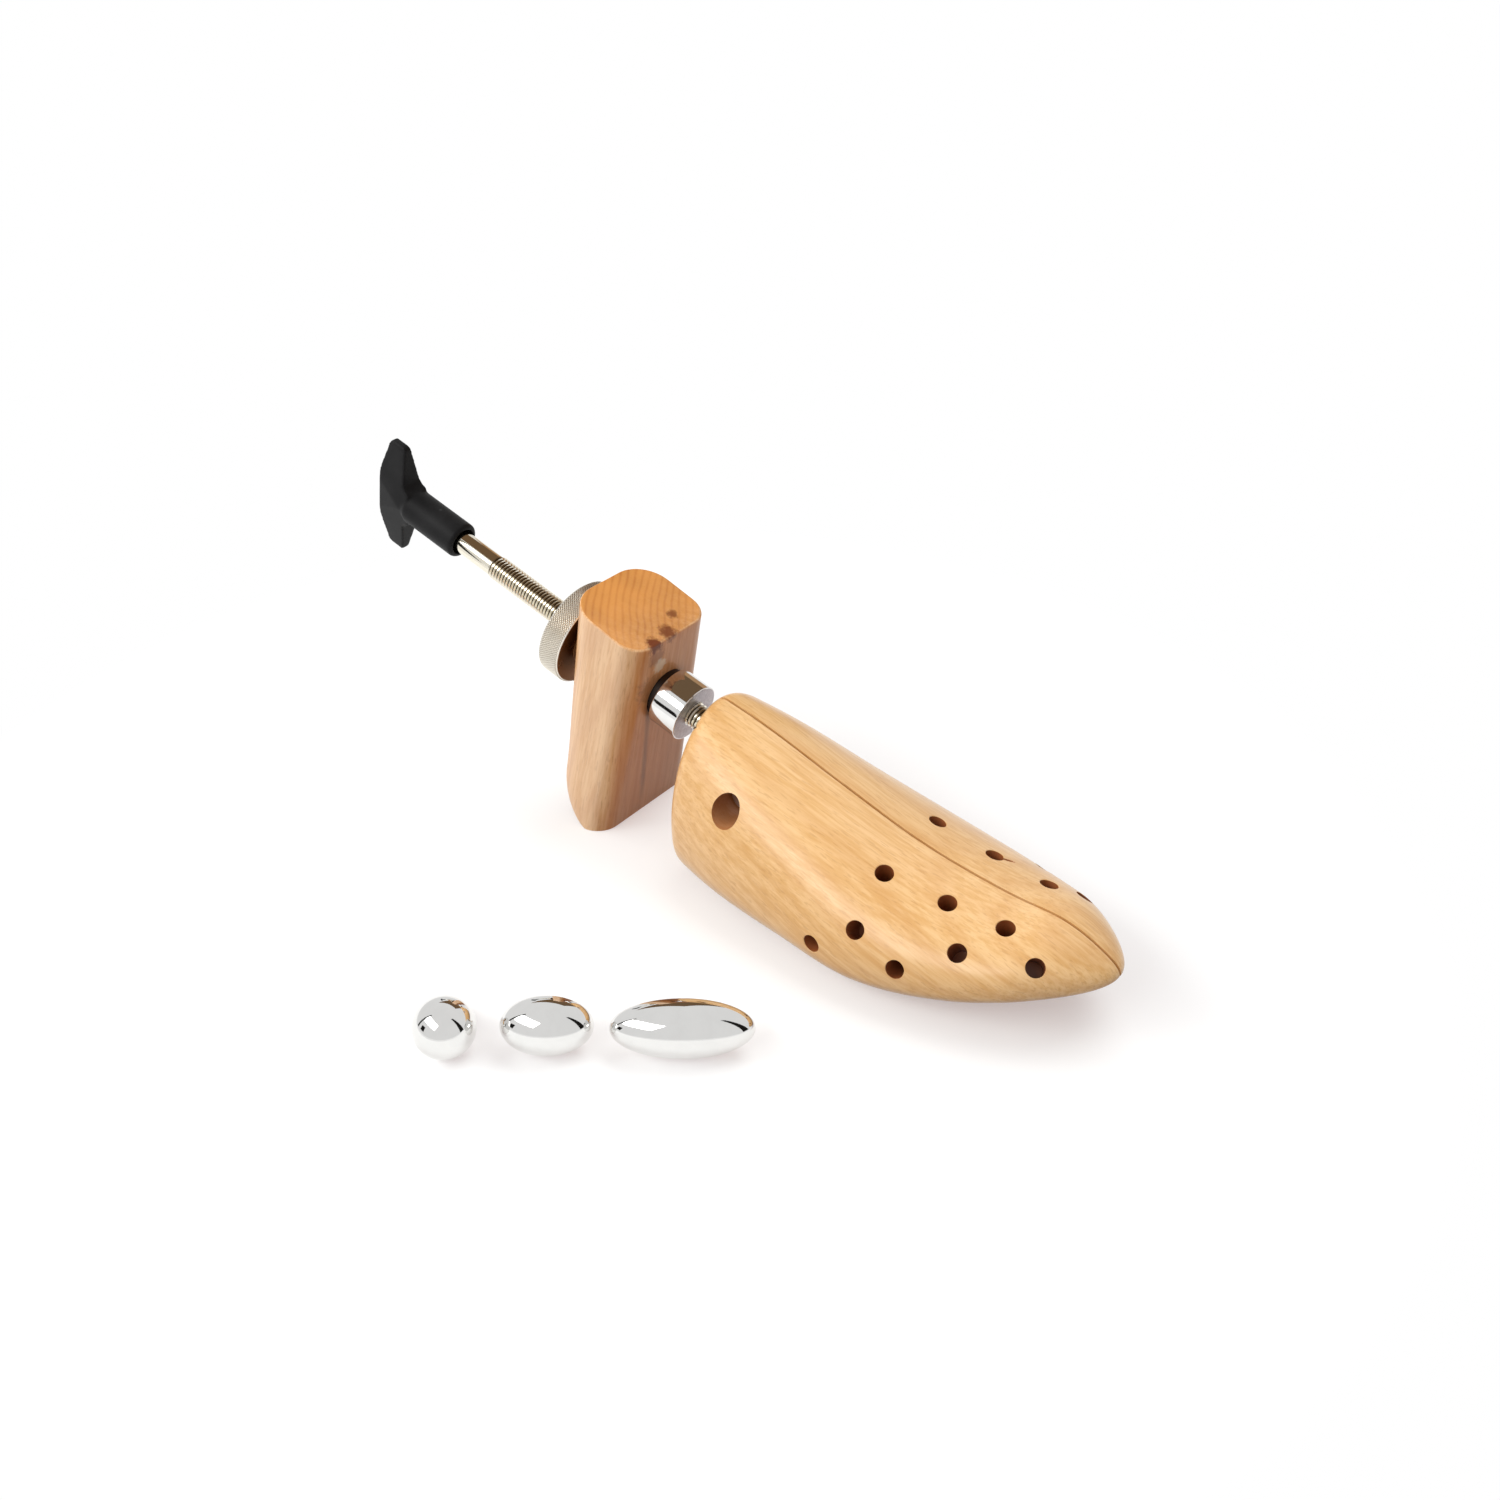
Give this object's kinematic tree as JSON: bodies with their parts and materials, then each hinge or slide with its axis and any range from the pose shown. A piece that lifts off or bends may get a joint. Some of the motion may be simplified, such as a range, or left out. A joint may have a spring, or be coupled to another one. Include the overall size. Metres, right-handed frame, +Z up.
{
  "type": "shoe stretcher",
  "caption": "Wooden two-way shoe stretcher: a split last opened by a T-handled spindle, a heel block moved by a knurled wheel, and loose metal stretching plugs.",
  "frame": {"origin": "middle of the heel block's flat foot, on the table", "axes": "+X towards the toe, +Y to the left, +Z up, table at z = 0"},
  "size_m": [0.3483, 0.1961, 0.1267],
  "materials": {
    "beech": "clear satin varnish over light beech",
    "heel_wood": "clear satin varnish, end grain on top",
    "black_plastic": "matte moulded black",
    "spindle_plate": "nickel plate, slightly warm",
    "wheel_plate": "satin nickel with a diamond knurl",
    "chrome_plate": "polished plate",
    "steel": "plain zinc plate"
  },
  "bodies": {
    "frame": {"hinge_yoke": "steel", "hinge_pin_left": "steel", "hinge_pin_right": "steel"},
    "spindle_group": {"spindle": "spindle_plate", "thrust_collar": "steel", "collar_pin": "steel", "t_handle": "black_plastic"},
    "expander_group": {"expander": "steel", "expander_peg_top": "steel", "expander_peg_bottom": "steel"},
    "left_half": {"last_half_left": "beech", "hinge_leaf_left": "steel", "leaf_bolt_left": "steel", "cam_plate_left": "steel"},
    "right_half": {"last_half_right": "beech", "hinge_leaf_right": "steel", "leaf_bolt_right": "steel", "cam_plate_right": "steel"},
    "heel": {"heel_block": "heel_wood"},
    "wheel": {"knurled_wheel": "wheel_plate", "threaded_sleeve": "steel", "ferrule": "chrome_plate", "seat_washer": "steel"},
    "ball_plug": {"ball_plug_knob": "chrome_plate", "ball_plug_peg": "chrome_plate"},
    "oval_plug": {"oval_plug_knob": "chrome_plate", "oval_plug_peg": "chrome_plate"},
    "long_plug": {"long_plug_knob": "chrome_plate", "long_plug_peg": "chrome_plate"}
  },
  "joints": [
    {"name": "handle_turn", "type": "hinge", "parent": "frame", "child": "spindle_group", "pos_m": [0.03295, 0, 0.055], "axis": [0.9603, 0, -0.279], "range_deg": [0, 3605]},
    {"name": "expander_slide", "type": "slide", "parent": "frame", "child": "expander_group", "axis": [-0.9603, 0, 0.279], "range_m": [0, 0.0125]},
    {"name": "left_swing", "type": "hinge", "parent": "frame", "child": "left_half", "pos_m": [0.04601, 0.0086, 0.05121], "axis": [0.279, 0, 0.9603], "range_deg": [0, 3.52]},
    {"name": "right_swing", "type": "hinge", "parent": "frame", "child": "right_half", "pos_m": [0.04601, -0.0086, 0.05121], "axis": [0.279, 0, 0.9603], "range_deg": [-3.52, 0]},
    {"name": "heel_slide", "type": "slide", "parent": "frame", "child": "heel", "axis": [0.9603, 0, -0.279], "range_m": [-0.042, 0.0045]},
    {"name": "wheel_turn", "type": "hinge", "parent": "heel", "child": "wheel", "pos_m": [-0.01756, 0, 0.06968], "axis": [0.9603, 0, -0.279], "range_deg": [-10085, 1085]},
    {"name": "ball_plug_lift", "type": "slide", "parent": "frame", "child": "ball_plug", "axis": [0, 0, 1], "range_m": [0, 0.06]},
    {"name": "oval_plug_lift", "type": "slide", "parent": "frame", "child": "oval_plug", "axis": [0, 0, 1], "range_m": [0, 0.06]},
    {"name": "long_plug_lift", "type": "slide", "parent": "frame", "child": "long_plug", "axis": [0, 0, 1], "range_m": [0, 0.06]}
  ],
  "couplings": [
    {"joint": "handle_turn", "follows": "expander_slide", "rad_per_m": 5026.5},
    {"joint": "left_swing", "follows": "expander_slide", "rad_per_m": 4.8869},
    {"joint": "right_swing", "follows": "expander_slide", "rad_per_m": -4.8869},
    {"joint": "wheel_turn", "follows": "heel_slide", "rad_per_m": 4188.8}
  ]
}
